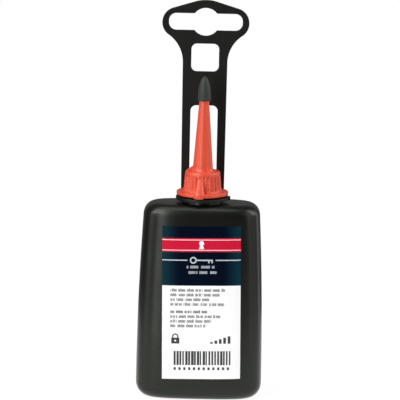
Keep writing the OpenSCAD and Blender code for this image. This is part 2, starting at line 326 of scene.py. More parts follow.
@dataclass(frozen=True)
class Thread:
    """Ridge of a screw thread with faded ends, in millimetres and degrees."""

    foot_z: float
    depth: float
    pitch: float = 3.0
    turns: float = 1.5
    root_half: float = 0.75
    crest_half: float = 0.36
    fade: float = 25.0

    def ridge(self, turn: float, z: float) -> float:
        """Works out how far the ridge stands out of its wall.

        Args:
            turn: Angle round the axis.
            z: Height.

        Returns:
            The ridge's depth there, which is 0 beside it.
        """
        best, last = 0.0, self.turns * FULL_TURN
        for along in (turn, turn + FULL_TURN):
            if along <= last:
                off = abs(z - self.foot_z - self.pitch * along / FULL_TURN)
                share = (self.root_half - off) / (self.root_half - self.crest_half)
                fade = min(1.0, along / self.fade, (last - along) / self.fade)
                best = max(best, self.depth * min(1.0, max(0.0, share)) * fade)
        return best


def operator(operation: str, swapped: bool = False) -> Callable[..., "Signal"]:
    """Makes a method of Signal that adds one Math node.

    Args:
        operation: The node's operation.
        swapped: Whether the other value comes first, as in 1 - mask.

    Returns:
        The method.
    """

    def apply(self: "Signal", *others: "Value") -> "Signal":
        """Adds the node and returns its result."""
        terms = (*others, self) if swapped else (self, *others)
        return self.bench.math(operation, *terms)

    return apply


class Signal:
    """A number socket of a shader that adds Math nodes where it is used in a sum."""

    def __init__(self, bench: "Bench", socket: Socket) -> None:
        """Wraps an output socket of one of the bench's nodes."""
        self.bench = bench
        self.socket = socket

    __add__ = __radd__ = operator("ADD")
    __sub__ = operator("SUBTRACT")
    __rsub__ = operator("SUBTRACT", swapped=True)
    __mul__ = __rmul__ = operator("MULTIPLY")
    __truediv__ = operator("DIVIDE")
    __pow__ = operator("POWER")
    __abs__ = operator("ABSOLUTE")
    __gt__ = operator("GREATER_THAN")
    __lt__ = operator("LESS_THAN")
    __or__ = operator("MAXIMUM")
    floor = operator("FLOOR")
    fraction = operator("FRACT")

    def between(self, low: float, high: float) -> "Signal":
        """Gives 1 inside a range and 0 outside it."""
        return (self > low) * (self < high)

    def ramp(self, low: float, high: float) -> "Signal":
        """Rises smoothly from 0 to 1.

        Args:
            low: Number at which the rise starts.
            high: Number at which it ends.

        Returns:
            The smooth step.
        """
        inputs = {"Value": self, "From Min": low, "From Max": high}
        made = self.bench.node("ShaderNodeMapRange", inputs, interpolation_type="SMOOTHSTEP")
        return Signal(self.bench, made.outputs["Result"])


Value = Signal | float


def distance(x: Signal, z: Signal) -> Signal:
    """Gives the distance from the middle at two offsets."""
    return (x * x + z * z) ** 0.5


class Bench:
    """Node tree of one material or of the world, with its maths."""

    def __init__(self, owner: Material | bpy.types.World) -> None:
        """Clears the owner's node tree.

        Args:
            owner: Material or world to build in.
        """
        owner.use_nodes = True
        self.owner = owner
        self.tree = owner.node_tree
        self.tree.nodes.clear()

    def node(
        self, kind: str, inputs: Mapping[str | int, object] | None = None, **settings: object
    ) -> bpy.types.Node:
        """Adds any node.

        Args:
            kind: Type of the node.
            inputs: Values or links of its sockets, by name or number.
            settings: Its settings, which are set first.

        Returns:
            The new node.
        """
        made = self.tree.nodes.new(kind)
        for name, value in settings.items():
            setattr(made, name, value)
        for name, value in (inputs or {}).items():
            source = value.socket if isinstance(value, Signal) else value
            if isinstance(source, Socket):
                self.tree.links.new(source, made.inputs[name])
            else:
                made.inputs[name].default_value = source
        return made

    def math(self, operation: str, *terms: Value) -> Signal:
        """Adds one Math node and returns its result."""
        made = self.node("ShaderNodeMath", dict(enumerate(terms)), operation=operation)
        return Signal(self, made.outputs[0])

    def place_mm(self) -> Socket:
        """Returns the place on the piece as a vector in millimetres."""
        place = {0: self.node("ShaderNodeTexCoord").outputs["Object"], "Scale": 1 / MM}
        return self.node("ShaderNodeVectorMath", place, operation="SCALE").outputs[0]

    def parts(self, vector: Socket) -> tuple[Signal, Signal, Signal]:
        """Splits a vector into its three numbers."""
        split = self.node("ShaderNodeSeparateXYZ", {0: vector})
        return tuple(Signal(self, out) for out in split.outputs)

    def stretch(self, vector: Socket, by: Point) -> Socket:
        """Multiplies a vector by another, number by number."""
        made = self.node("ShaderNodeVectorMath", {0: vector, 1: by}, operation="MULTIPLY")
        return made.outputs[0]

    def noise(self, vector: Socket, scale: float, layers: float = 2.0) -> Signal:
        """Adds noise about a half, with so many waves in a millimetre and finer layers."""
        inputs = {"Vector": vector, "Scale": scale, "Detail": layers}
        return Signal(self, self.node("ShaderNodeTexNoise", inputs).outputs[0])

    def chance(self, value: Signal) -> Signal:
        """Gives a random number from 0 to 1 that stays the same for a value."""
        made = self.node("ShaderNodeTexWhiteNoise", {"W": value}, noise_dimensions="1D")
        return Signal(self, made.outputs["Value"])

    def mix(self, share: Value, first: object, second: object) -> Socket:
        """Goes from a first colour or colour socket to a second one by a share."""
        inputs = {0: share, MIX_FIRST: first, MIX_SECOND: second}
        return self.node("ShaderNodeMix", inputs, data_type="RGBA").outputs[MIX_RESULT]

    def bump(self, height: Signal, depth_mm: float) -> Socket:
        """Turns a height from 0 to 1, of a real depth in millimetres, into a normal."""
        inputs = {"Height": height, "Distance": depth_mm * MM}
        return self.node("ShaderNodeBump", inputs).outputs[0]

    def output(self, shader: bpy.types.Node, kind: str = "ShaderNodeOutputMaterial") -> None:
        """Connects a shader to the tree's output."""
        self.node(kind, {0: shader.outputs[0]})

    def surface(self, inputs: Mapping[str, object]) -> Material:
        """Adds the plastic or paper shader and returns the finished material."""
        self.output(self.node("ShaderNodeBsdfPrincipled", inputs))
        return self.owner


@dataclass(frozen=True)
class MouldedPlastic:
    """Injection or blow moulded plastic with a fine grain and slight wear."""

    name: str
    base: Colour
    worn: Colour
    roughness: float
    roughness_swing: float
    grain_per_mm: float
    grain_depth_mm: float
    grain_share: float = 0.7
    flow_stretch: Point = (1.0, 1.0, 0.12)
    flow_per_mm: float = 0.16
    wave_per_mm: float = 0.07
    wave_depth_mm: float = 0.0
    rub_per_mm: float = 1.4
    rub_range: Flat = (0.62, 0.74)
    rub_roughness: float = 0.06
    cloud_per_mm: float = 0.05
    cloud_range: Flat = (0.48, 0.62)
    specular: float = 0.5
    specular_tint: Colour = (1.0, 1.0, 1.0, 1.0)
    soft_light: float = 0.0
    soft_reach: Point = (1.0, 0.4, 0.2)
    speck_share: float = 0.06

    def material(self) -> Material:
        """Builds the finish.

        Returns:
            A material that depends on the place on the piece alone.
        """
        bench = Bench(bpy.data.materials.new(self.name))
        place = bench.place_mm()
        grain = bench.noise(place, self.grain_per_mm, layers=3.0)
        flow = bench.noise(bench.stretch(place, self.flow_stretch), self.flow_per_mm, layers=3.0)
        cloud = bench.noise(place, self.cloud_per_mm).ramp(*self.cloud_range)
        rubbed = bench.noise(place, self.rub_per_mm, layers=4.0).ramp(*self.rub_range) * cloud
        wave = bench.noise(place, self.wave_per_mm, layers=1.0)
        swing = (flow - 0.5) * self.roughness_swing + rubbed * self.rub_roughness
        depth = self.grain_depth_mm + self.wave_depth_mm
        fine = self.grain_depth_mm / depth
        skin = grain * self.grain_share + flow * (1 - self.grain_share)
        return bench.surface(
            {
                "Base Color": bench.mix(rubbed * self.speck_share, self.base, self.worn),
                "Roughness": self.roughness + swing,
                "Specular IOR Level": self.specular,
                "Specular Tint": self.specular_tint,
                "Subsurface Weight": self.soft_light,
                "Subsurface Radius": self.soft_reach,
                "Subsurface Scale": MM,
                "Normal": bench.bump(skin * fine + wave * (1 - fine), depth),
            }
        )


@dataclass(frozen=True)
class Powder:
    """Fine dark mineral powder with a faint metallic glint."""

    name: str = "graphite_powder_finish"
    dark: Colour = (0.018, 0.018, 0.020, 1.0)
    light: Colour = (0.090, 0.090, 0.096, 1.0)
    grain_per_mm: float = 6.0
    grain_share: float = 0.6
    heap_per_mm: float = 0.3
    heap_share: float = 0.3
    glint_range: Flat = (0.6, 0.75)
    glint_metal: float = 0.5
    glint_polish: float = 0.3
    roughness: float = 0.75
    depth_mm: float = 0.25

    def material(self) -> Material:
        """Builds the finish.

        Returns:
            The powder's material.
        """
        bench = Bench(bpy.data.materials.new(self.name))
        place = bench.place_mm()
        grains = bench.noise(place, self.grain_per_mm, layers=4.0)
        heaps = bench.noise(place, self.heap_per_mm)
        glint = grains.ramp(*self.glint_range)
        share = grains * self.grain_share + heaps * self.heap_share
        return bench.surface(
            {
                "Base Color": bench.mix(share, self.dark, self.light),
                "Metallic": glint * self.glint_metal,
                "Roughness": self.roughness - glint * self.glint_polish,
                "Normal": bench.bump((grains + heaps) * 0.5, self.depth_mm),
            }
        )


@dataclass(frozen=True)
class SoftSeal:
    """Pale soft rubber of a pressed ring."""

    name: str = "seal_finish"
    base: Colour = (0.70, 0.68, 0.62, 1.0)
    dusty: Colour = (0.30, 0.29, 0.28, 1.0)
    dust_per_mm: float = 1.1
    dust_range: Flat = (0.5, 0.8)
    dust_share: float = 0.5
    grain_per_mm: float = 7.0
    grain_depth_mm: float = 0.02
    roughness: float = 0.6
    roughness_swing: float = 0.15

    def material(self) -> Material:
        """Builds the finish.

        Returns:
            The rubber's material.
        """
        bench = Bench(bpy.data.materials.new(self.name))
        place = bench.place_mm()
        dust = bench.noise(place, self.dust_per_mm, layers=4.0).ramp(*self.dust_range)
        grain = bench.noise(place, self.grain_per_mm)
        return bench.surface(
            {
                "Base Color": bench.mix(dust * self.dust_share, self.base, self.dusty),
                "Roughness": self.roughness + grain * self.roughness_swing,
                "Normal": bench.bump(grain, self.grain_depth_mm),
            }
        )


@dataclass(frozen=True)
class Lines:
    """Rows of small upright ticks that stand for running print, in millimetres."""

    left: float
    right: float
    top: float
    pitch: float
    count: int
    height: float
    seed: float
    ragged: float = 0.3
    cell: float = 0.62
    word: float = 6.0
    tick: float = 0.35
    cell_range: Flat = (0.06, 0.86)
    low_share: float = 0.78
    tall_above: float = 0.74
    second_above: float = 0.2
    row_stride: float = 57.0
    word_stride: float = 3.0
    tick_seeds: Flat = (0.13, 0.41)

    def _ticks(self, across: Signal, up: Signal, row: Signal) -> Signal:
        """Draws one or two ticks in each cell, some of them tall.

        Args:
            across: Place along the row in cells.
            up: Height over the foot line as a share of the print's height.
            row: The row's number.

        Returns:
            A mask of the ticks.
        """
        u, cell = across.fraction(), across.floor() + row * self.row_stride + self.seed
        first, second = (u.bench.chance(cell + seed) for seed in self.tick_seeds)
        start, end = self.cell_range
        low = up < self.low_share
        left_tick = u.between(start, start + self.tick) * (low | (first > self.tall_above))
        right_tick = u.between(end - self.tick, end) * low * (second > self.second_above)
        return left_tick | right_tick

    def mask(self, x: Signal, z: Signal) -> Signal:
        """Draws the rows.

        Args:
            x: Place across the label.
            z: Height.

        Returns:
            A mask that is 1 on a stroke.
        """
        down = (self.top - z) / self.pitch
        row, up = down.floor(), 1 - down.fraction() * (self.pitch / self.height)
        inside = down.between(0.0, float(self.count)) * (up > 0.0)
        cut = x.bench.chance(row + self.seed) * ((self.right - self.left) * self.ragged)
        reach = (x > self.left) * (x < self.right - cut)
        across = (x - self.left) / self.cell
        words = across / self.word + x.bench.chance(row * self.word_stride + self.seed)
        gap = words.fraction() > 1 / self.word
        return inside * reach * gap * self._ticks(across, up, row)


@dataclass(frozen=True)
class Rule:
    """Thin line across the label with a gap in its middle, in millimetres."""

    z: float = 62.5
    half: float = 0.24
    gap: float = 6.1

    def mask(self, x: Signal, z: Signal) -> Signal:
        """Draws the line."""
        return (abs(z - self.z) < self.half) * (abs(x) > self.gap)


@dataclass(frozen=True)
class KeyMark:
    """Plain key that lies along a line, with an open bow and two teeth, in millimetres."""

    bow: Flat = (-3.55, 62.5)
    bow_r: float = 1.2
    half: float = 0.30
    end: float = 4.9
    teeth: Flat = (3.2, 4.6)
    tooth: float = 1.25

    def mask(self, x: Signal, z: Signal) -> Signal:
        """Draws the key.

        Args:
            x: Place across the label.
            z: Height.

        Returns:
            A mask that is 1 on the key.
        """
        off_x, off_z = x - self.bow[0], z - self.bow[1]
        shaft = x.between(self.bow[0] + self.bow_r, self.end) * (abs(off_z) < self.half)
        drawn = (abs(distance(off_x, off_z) - self.bow_r) < self.half) | shaft
        for tooth in self.teeth:
            drawn = drawn | (abs(x - tooth) < self.half) * off_z.between(-self.tooth, 0.0)
        return drawn


@dataclass(frozen=True)
class Keyhole:
    """Plain keyhole with a round head and a flared foot, in millimetres."""

    middle: float = 69.15
    head_up: float = 0.75
    head_r: float = 1.05
    foot_down: float = 1.75
    flare_top: float = 1.2
    flare: float = 0.34
    waist_half: float = 0.12

    def mask(self, x: Signal, z: Signal) -> Signal:
        """Draws the keyhole.

        Args:
            x: Place across the label.
            z: Height.

        Returns:
            A mask that is 1 in the keyhole.
        """
        up = z - self.middle
        head = distance(x, up - self.head_up) < self.head_r
        half = (self.flare_top - up) * self.flare + self.waist_half
        return head | up.between(-self.foot_down, self.head_up) * (abs(x) < half)


@dataclass(frozen=True)
class Padlock:
    """Plain closed padlock with a keyhole, in millimetres."""

    middle: Flat = (-11.2, 27.0)
    body: Flat = (1.75, 1.3)
    shackle_r: float = 1.1
    shackle_half: float = 0.28
    shackle_up: float = 0.5
    leg_range: Flat = (-0.6, 0.01)
    hole_r: float = 0.42

    def mask(self, x: Signal, z: Signal) -> Signal:
        """Draws the padlock.

        Args:
            x: Place across the label.
            z: Height.

        Returns:
            A mask that is 1 on the padlock.
        """
        off_x, off_z = x - self.middle[0], z - self.middle[1]
        body = (abs(off_x) < self.body[0]) * (abs(off_z) < self.body[1])
        hole = distance(off_x, off_z) < self.hole_r
        up = off_z - self.body[1] - self.shackle_up
        bend = abs(distance(off_x, up) - self.shackle_r) < self.shackle_half
        legs = abs(abs(off_x) - self.shackle_r) < self.shackle_half
        return body * (1 - hole) | bend * (up > 0.0) | legs * up.between(*self.leg_range)


@dataclass(frozen=True)
class Steps:
    """Row of solid bars that grow from left to right, in millimetres."""

    left: float = 3.9
    foot: float = 25.7
    pitch: float = 1.9
    count: int = 5
    width_share: float = 0.62
    low: float = 0.8
    rise: float = 0.62

    def mask(self, x: Signal, z: Signal) -> Signal:
        """Draws the bars.

        Args:
            x: Place across the label.
            z: Height.

        Returns:
            A mask that is 1 on a bar.
        """
        across = (x - self.left) / self.pitch
        held = across.between(0.0, float(self.count)) * (across.fraction() < self.width_share)
        up = z - self.foot
        return held * (up > 0.0) * (up < across.floor() * self.rise + self.low)


@dataclass(frozen=True)
class Bars:
    """Upright bars of chance widths over even dots, which encode nothing, in millimetres."""

    left: float = -11.9
    right: float = 13.3
    bar_range: Flat = (16.2, 22.4)
    bar_pitch: float = 1.26
    bar_share: float = 0.47
    bar_swing: float = 0.45
    bar_seed: float = 9.0
    dot_range: Flat = (14.0, 15.2)
    dot_pitch: float = 2.1
    dot_share: float = 0.46

    def mask(self, x: Signal, z: Signal) -> Signal:
        """Draws the bars and the dots.

        Args:
            x: Place across the label.
            z: Height.

        Returns:
            A mask that is 1 on a bar or a dot.
        """
        off = x - self.left
        across = off / self.bar_pitch
        width = x.bench.chance(across.floor() + self.bar_seed) * self.bar_swing + self.bar_share
        bars = (across.fraction() < width) * z.between(*self.bar_range)
        dots = ((off / self.dot_pitch).fraction() < self.dot_share) * z.between(*self.dot_range)
        return x.between(self.left, self.right) * (bars | dots)


Mark = Lines | Rule | KeyMark | Keyhole | Padlock | Steps | Bars


@dataclass(frozen=True)
class LabelPrint:
    """Two-field label: a dark field with a red band over a white field, in millimetres. The dark
    field turns teal towards its sides as a painted sheen.
    """

    lean: float
    middle: Flat
    name: str = "label_print"
    navy: Colour = (0.0001, 0.0026, 0.0118, 1.0)
    # The teal towards the dark field's sides is a painted sheen: a reflection of the side lamps
    # painted into the colour.
    painted_sheen_teal: Colour = (0.0030, 0.0285, 0.0435, 1.0)
    white: Colour = (0.93, 0.93, 0.93, 1.0)
    aged: Colour = (0.84, 0.84, 0.82, 1.0)
    red: Colour = (0.60, 0.010, 0.040, 1.0)
    pale: Colour = (0.52, 0.57, 0.60, 1.0)
    ink: Colour = (0.014, 0.014, 0.016, 1.0)
    ink_cover: float = 0.95
    field_z: float = 51.3
    # Distances from the label's middle over which the painted sheen rises to teal.
    painted_sheen_range: Flat = (9.0, 17.5)
    band: Flat = (66.1, 72.2)
    line_half: float = 0.13
    line_inset: float = 0.8
    keyhole: Keyhole = Keyhole()
    pale_marks: tuple[Mark, ...] = (
        Rule(),
        KeyMark(),
        Lines(-6.4, 6.6, 60.1, 2.4, 2, 1.15, 17.0, 0.08, cell=0.78, low_share=1.0, tick=0.29),
    )
    dark_marks: tuple[Mark, ...] = (
        Padlock(),
        Steps(),
        Bars(),
        Lines(-13.4, 2.5, 40.6, 2.0, 1, 1.45, 31.0, 0.0, tick=0.39),
        Lines(-13.4, 13.2, 50.1, 2.07, 4, 1.45, 23.0, 0.45),
        Lines(-13.4, 10.4, 38.5, 2.07, 3, 1.45, 41.0, 0.4),
    )
    fibre_per_mm: float = 5.0
    fibre_swing: float = 0.10
    fibre_depth_mm: float = 0.006
    aged_share: float = 0.03
    roughness: float = 0.38
    cloud_per_mm: float = 0.25
    cloud_roughness: float = 0.08
    fibre_roughness: float = 0.05
    specular: float = 0.05

    def _paper(self, x: Signal, z: Signal, fibre: Signal) -> Socket:
        """Lays the paper, its large fields of colour and the painted sheen at the dark field's
        sides.

        Args:
            x: Place across the label in millimetres.
            z: Height in millimetres.
            fibre: Fine noise of the paper.

        Returns:
            The colour socket.
        """
        mix = x.bench.mix
        paper = mix((fibre - 0.5) * self.fibre_swing + self.aged_share, self.white, self.aged)
        # Painted sheen: the dark field turns teal towards both sides, where the side lamps would
        # reflect.
        dark = mix(abs(x).ramp(*self.painted_sheen_range), self.navy, self.painted_sheen_teal)
        low, high = self.band
        band = z.between(low, high)
        tone = mix(band, mix(z > self.field_z, paper, dark), self.red)
        reach = (high - low) / 2 - self.line_inset
        lines = abs(abs(z - (low + high) / 2) - reach) < self.line_half
        return mix((lines | self.keyhole.mask(x, z)) * band, tone, self.white)

    @staticmethod
    def _drawn(marks: Sequence[Mark], x: Signal, z: Signal) -> Signal:
        """Joins the masks of several marks."""
        return reduce(lambda drawn, mask: drawn | mask, (mark.mask(x, z) for mark in marks))

    def material(self) -> Material:
        """Builds the print on satin coated paper.

        Returns:
            A material that depends on the place on the label alone.
        """
        bench = Bench(bpy.data.materials.new(self.name))
        place = bench.place_mm()
        along_x, _, along_z = bench.parts(place)
        slope = math.tan(math.radians(self.lean))
        off_x = along_x - self.middle[0]
        x, z = off_x + (along_z - self.middle[1]) * slope, along_z - off_x * slope
        fibre = bench.noise(place, self.fibre_per_mm, layers=3.0)
        cloud = bench.noise(place, self.cloud_per_mm)
        gloss = cloud * self.cloud_roughness + fibre * self.fibre_roughness
        tone = bench.mix(
            self._drawn(self.pale_marks, x, z), self._paper(x, z, fibre), self.pale
        )
        ink = self._drawn(self.dark_marks, x, z) * self.ink_cover
        return bench.surface(
            {
                "Base Color": bench.mix(ink, tone, self.ink),
                "Roughness": self.roughness + gloss,
                "Specular IOR Level": self.specular,
                "Normal": bench.bump(fibre, self.fibre_depth_mm),
            }
        )


BLACK_BOTTLE = MouldedPlastic(
    name="black_bottle_finish",
    base=(0.0042, 0.0048, 0.0036, 1.0),
    worn=(0.040, 0.042, 0.038, 1.0),
    roughness=0.285,
    roughness_swing=0.08,
    grain_per_mm=3.2,
    grain_depth_mm=0.014,
    wave_depth_mm=0.20,
    specular=0.43,
    specular_tint=(0.96, 1.0, 0.90, 1.0),
)
BLACK_HANGER = MouldedPlastic(
    name="black_hanger_finish",
    base=(0.0085, 0.0086, 0.0078, 1.0),
    worn=(0.050, 0.050, 0.048, 1.0),
    roughness=0.42,
    roughness_swing=0.12,
    grain_per_mm=4.5,
    grain_depth_mm=0.010,
    flow_stretch=(1.0, 1.0, 0.2),
    specular=0.28,
)
RED_CAP = MouldedPlastic(
    name="red_cap_finish",
    base=(0.715, 0.077, 0.032, 1.0),
    worn=(0.80, 0.19, 0.13, 1.0),
    roughness=0.31,
    roughness_swing=0.10,
    grain_per_mm=5.0,
    grain_depth_mm=0.008,
    specular=0.6,
    soft_light=0.06,
    soft_reach=(2.2, 0.5, 0.2),
    speck_share=0.25,
)
GREY_TIP = MouldedPlastic(
    name="grey_tip_finish",
    base=(0.037, 0.042, 0.036, 1.0),
    worn=(0.08, 0.085, 0.08, 1.0),
    roughness=0.47,
    roughness_swing=0.08,
    grain_per_mm=5.0,
    grain_depth_mm=0.008,
    specular=0.25,
)


def dress(piece: Piece, material: Material) -> None:
    """Gives a piece one material in place of what it had."""
    piece.data.materials.clear()
    piece.data.materials.append(material)


@dataclass(frozen=True)
class Body:
    """The bottle's moulded body as rounded sections, in millimetres."""

    height: float = 85.8
    base_w: float = 54.8
    shoulder_w: float = 50.6
    depth: float = 26.0
    power: float = 3.4
    base_corner_r: float = 6.5
    base_edge_r: float = 5.0
    shoulder_corner_r: float = 5.0
    shoulder_edge_r: float = 4.5
    seam_h: float = 0.06
    seam_w: float = 0.3
    seam_places: Numbers = (0.14, 0.3, 0.7)
    points: int = 160

    def _ends(self, z: float, inset: float, low_r: float, high_r: float) -> float:
        """Works out how far the rounded edges at the base and the shoulder have drawn in.

        Args:
            z: Height.
            inset: Distance in from the outside.
            low_r: Outer radius of the edge at the base.
            high_r: Outer radius of the edge at the shoulder.

        Returns:
            The distance that the side lies inside the straight wall.
        """
        drawn = inset
        for away, r in ((z - inset, low_r - inset), (self.height - inset - z, high_r - inset)):
            if away < r:
                drawn += r - math.sqrt(max(0.0, r * r - (r - max(0.0, away)) ** 2))
        return drawn

    def half_w(self, z: float, inset: float) -> float:
        """Works out the half width.

        Args:
            z: Height.
            inset: Distance in from the outside.

        Returns:
            The half width there.
        """
        run = self.height - self.shoulder_corner_r - self.base_corner_r
        share = max(0.0, (z - self.base_corner_r) / run)
        wall = self.base_w / 2 - (self.base_w - self.shoulder_w) / 2 * share * share
        return wall - self._ends(z, inset, self.base_corner_r, self.shoulder_corner_r)

    def half_d(self, z: float, inset: float) -> float:
        """Returns the half depth at height z, inset from the outside."""
        return self.depth / 2 - self._ends(z, inset, self.base_edge_r, self.shoulder_edge_r)

    def turns(self) -> list[float]:
        """Sets out a section's points, with the seams' own points among them.

        Returns:
            The points' angles in degrees.
        """
        turns = {FULL_TURN * i / self.points for i in range(self.points)}
        for place in self.seam_places:
            share = (2 * place / self.depth) ** (self.power / 2)
            off = math.degrees(math.asin(share))
            turns |= {off, 180 - off, 180 + off, FULL_TURN - off}
        return sorted(turns)

    def share(self, value: float) -> float:
        """Returns the place along a half side for the sine or cosine of an angle."""
        return math.copysign(abs(value) ** (2 / self.power), value)

    def section(self, z: float, inset: float, seam: float = 0.0) -> list[Point]:
        """Makes one closed section.

        Args:
            z: Height.
            inset: Distance in from the outside.
            seam: Height of the parting seam on the two narrow sides.

        Returns:
            The section's points, counter-clockwise from +X.
        """
        half_w, half_d = self.half_w(z, inset + seam), self.half_d(z, inset)
        points = []
        for turn in self.turns():
            c, s = polar(1.0, turn)
            x, y = half_w * self.share(c), half_d * self.share(s)
            lift = seam * max(0.0, 1 - abs(y) / self.seam_w)
            points.append((x + math.copysign(lift, x), y, z))
        return points

    def front(self, x: float, z: float, out: float) -> Point:
        """Returns the point on the front at width x and height z, standing out."""
        share = (abs(x) / self.half_w(z, -out)) ** self.power
        return x, -self.half_d(z, -out) * (1 - share) ** (1 / self.power), z


@dataclass(frozen=True)
class Bottle:
    """Blow-moulded bottle with its threaded neck, the powder and the label."""

    body: Body = Body()
    wall: float = 1.0
    base_steps: int = 12
    wall_steps: int = 26
    shoulder_steps: int = 12
    panel_rise: float = 0.7
    panel_shares: Numbers = (0.25, 0.5, 0.7, 0.76)
    rim_steps: tuple[Flat, ...] = ((0.79, 0.45), (0.83, 0.06), (0.86, 0.0))
    pinch_h: float = 0.25
    pinch_half: float = 0.35
    collar_r: float = 8.5
    collar_draft: float = 0.02
    collar_top: float = 86.9
    journal_r: float = 6.9
    journal_top: float = 88.8
    neck_r: float = 5.6
    bore_r: float = 4.4
    lip_z: float = 97.3
    edge: float = 0.25
    edge_share: float = 0.3
    thread: Thread = Thread(foot_z=91.48, depth=0.7)
    thread_row: float = 0.2
    neck_columns: int = 120
    label_w: float = 33.9
    label_shift: float = 0.55
    label_low: float = 10.0
    label_high: float = 77.3
    label_gap: float = 0.03
    label_t: float = 0.12
    label_lean: float = 0.9
    label_columns: int = 56
    label_rows: int = 60

    def _levels(self, inset: float) -> list[float]:
        """Sets out the body's sections from the base to the shoulder.

        Args:
            inset: Distance in from the outside.

        Returns:
            The sections' heights.
        """
        body = self.body
        low_r, high_r = body.base_corner_r - inset, body.shoulder_corner_r - inset
        top = body.height - body.shoulder_corner_r
        base = [inset + low_r - polar(low_r, t)[0] for t in spread(0, 90, self.base_steps)]
        shoulder = [top + polar(high_r, t)[1] for t in spread(0, 90, self.shoulder_steps)]
        return base + spread(body.base_corner_r, top, self.wall_steps)[1:] + shoulder[1:]

    def _panel_z(self, point: Point) -> float:
        """Returns the height of the base's panel inward of a point of its rim."""
        pinch = max(0.0, 1 - abs(point[1]) / self.pinch_half) * (point[0] != 0)
        return self.panel_rise - self.pinch_h * pinch

    def _base_rows(self) -> list[list[Point]]:
        """Sets out the raised panel under the base and the foot rim.

        Returns:
            Their rows of points, from the middle out.
        """
        rim = self.body.section(0.0, 0.0)
        rows = [[(0.0, 0.0, self.panel_rise)]]
        for share in self.panel_shares:
            rows.append([(p[0] * share, p[1] * share, self._panel_z(p)) for p in rim])
        for share, z in self.rim_steps:
            rows.append([(x * share, y * share, z) for x, y, _ in rim])
        return rows

    def _brow(self, r: float, z: float) -> list[Flat]:
        """Returns the profile of a slightly rounded outer edge, from below."""
        e, cut = self.edge, self.edge * self.edge_share
        return [(r, z - e), (r - cut, z - cut), (r - e, z)]

    def _neck_rows(self) -> list[list[Point]]:
        """Sets out the neck with its collar, its journal and its thread.

        Returns:
            Its rings, from the shoulder over the lip and down the bore.
        """
        e, columns = self.edge, self.neck_columns
        outside = [
            (self.collar_r - self.collar_draft, self.body.height),
            *self._brow(self.collar_r, self.collar_top),
            (self.journal_r + e, self.collar_top),
            (self.journal_r, self.collar_top + e),
            *self._brow(self.journal_r, self.journal_top),
            (self.neck_r + e, self.journal_top),
            (self.neck_r, self.journal_top + e),
        ]
        inside = [
            *self._brow(self.neck_r, self.lip_z)[1:],
            (self.bore_r + e, self.lip_z),
            (self.bore_r, self.lip_z - e),
            (self.bore_r, self.body.height - self.wall),
        ]
        rows = [circle(r, z, columns) for r, z in outside]
        steps = round((self.lip_z - 2 * e - self.journal_top - e) / self.thread_row)
        for z in spread(self.journal_top + e, self.lip_z - e, steps)[1:]:
            turns = [FULL_TURN * i / columns for i in range(columns)]
            radii = [self.neck_r + self.thread.ridge(turn, z) for turn in turns]
            rows.append([(*polar(r, turn), z) for r, turn in zip(radii, turns)])
        return rows + [circle(r, z, columns) for r, z in inside]

    def shell(self) -> Piece:
        """Builds the bottle as one closed shell.

        Returns:
            The bottle's object.
        """
        maker = MeshMaker("bottle_shell")
        body = self.body
        walls = [body.section(z, 0.0, body.seam_h) for z in self._levels(0.0)]
        outer_rings = maker.skin(self._base_rows() + walls)
        neck_rings = maker.skin(self._neck_rows())
        maker.fill(outer_rings[-1], neck_rings[0])
        inner = [body.section(z, self.wall) for z in reversed(self._levels(self.wall))]
        inner_rings = maker.skin([*inner, [(0.0, 0.0, self.wall)]])
        maker.fill(inner_rings[0], neck_rings[-1])
        return maker.finish()

    @property
    def label_middle(self) -> float:
        """Returns the height of the label's middle, about which it leans."""
        return (self.label_low + self.label_high) / 2

    def label(self) -> Piece:
        """Builds the label as a thin curved sheet on the front, stuck on a little askew.

        Returns:
            The label's object.
        """
        maker = MeshMaker("front_label_sheet")
        slope = math.tan(math.radians(self.label_lean))
        across = spread(-self.label_w / 2, self.label_w / 2, self.label_columns)
        rows = []
        for z in spread(self.label_low, self.label_high, self.label_rows):
            shift = self.label_shift - (z - self.label_middle) * slope
            faces = (self.label_gap + self.label_t, self.label_gap)
            rows.append(
                [[self.body.front(x + shift, z + x * slope, out) for x in across] for out in faces]
            )
        maker.sheet(rows)
        return maker.finish()

    def build(self) -> list[Piece]:
        """Builds and dresses what belongs to the bottle's body.

        Returns:
            The new pieces.
        """
        shell = self.shell()
        dress(shell, BLACK_BOTTLE.material())
        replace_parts(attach(shell, "bottle"), "bottle")
        label = self.label()
        middle = (self.label_shift, self.label_middle)
        dress(label, LabelPrint(self.label_lean, middle).material())
        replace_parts(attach(label, "bottle"), "front_label")
        dress(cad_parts["graphite_powder"], Powder().material())
        return [shell, label]


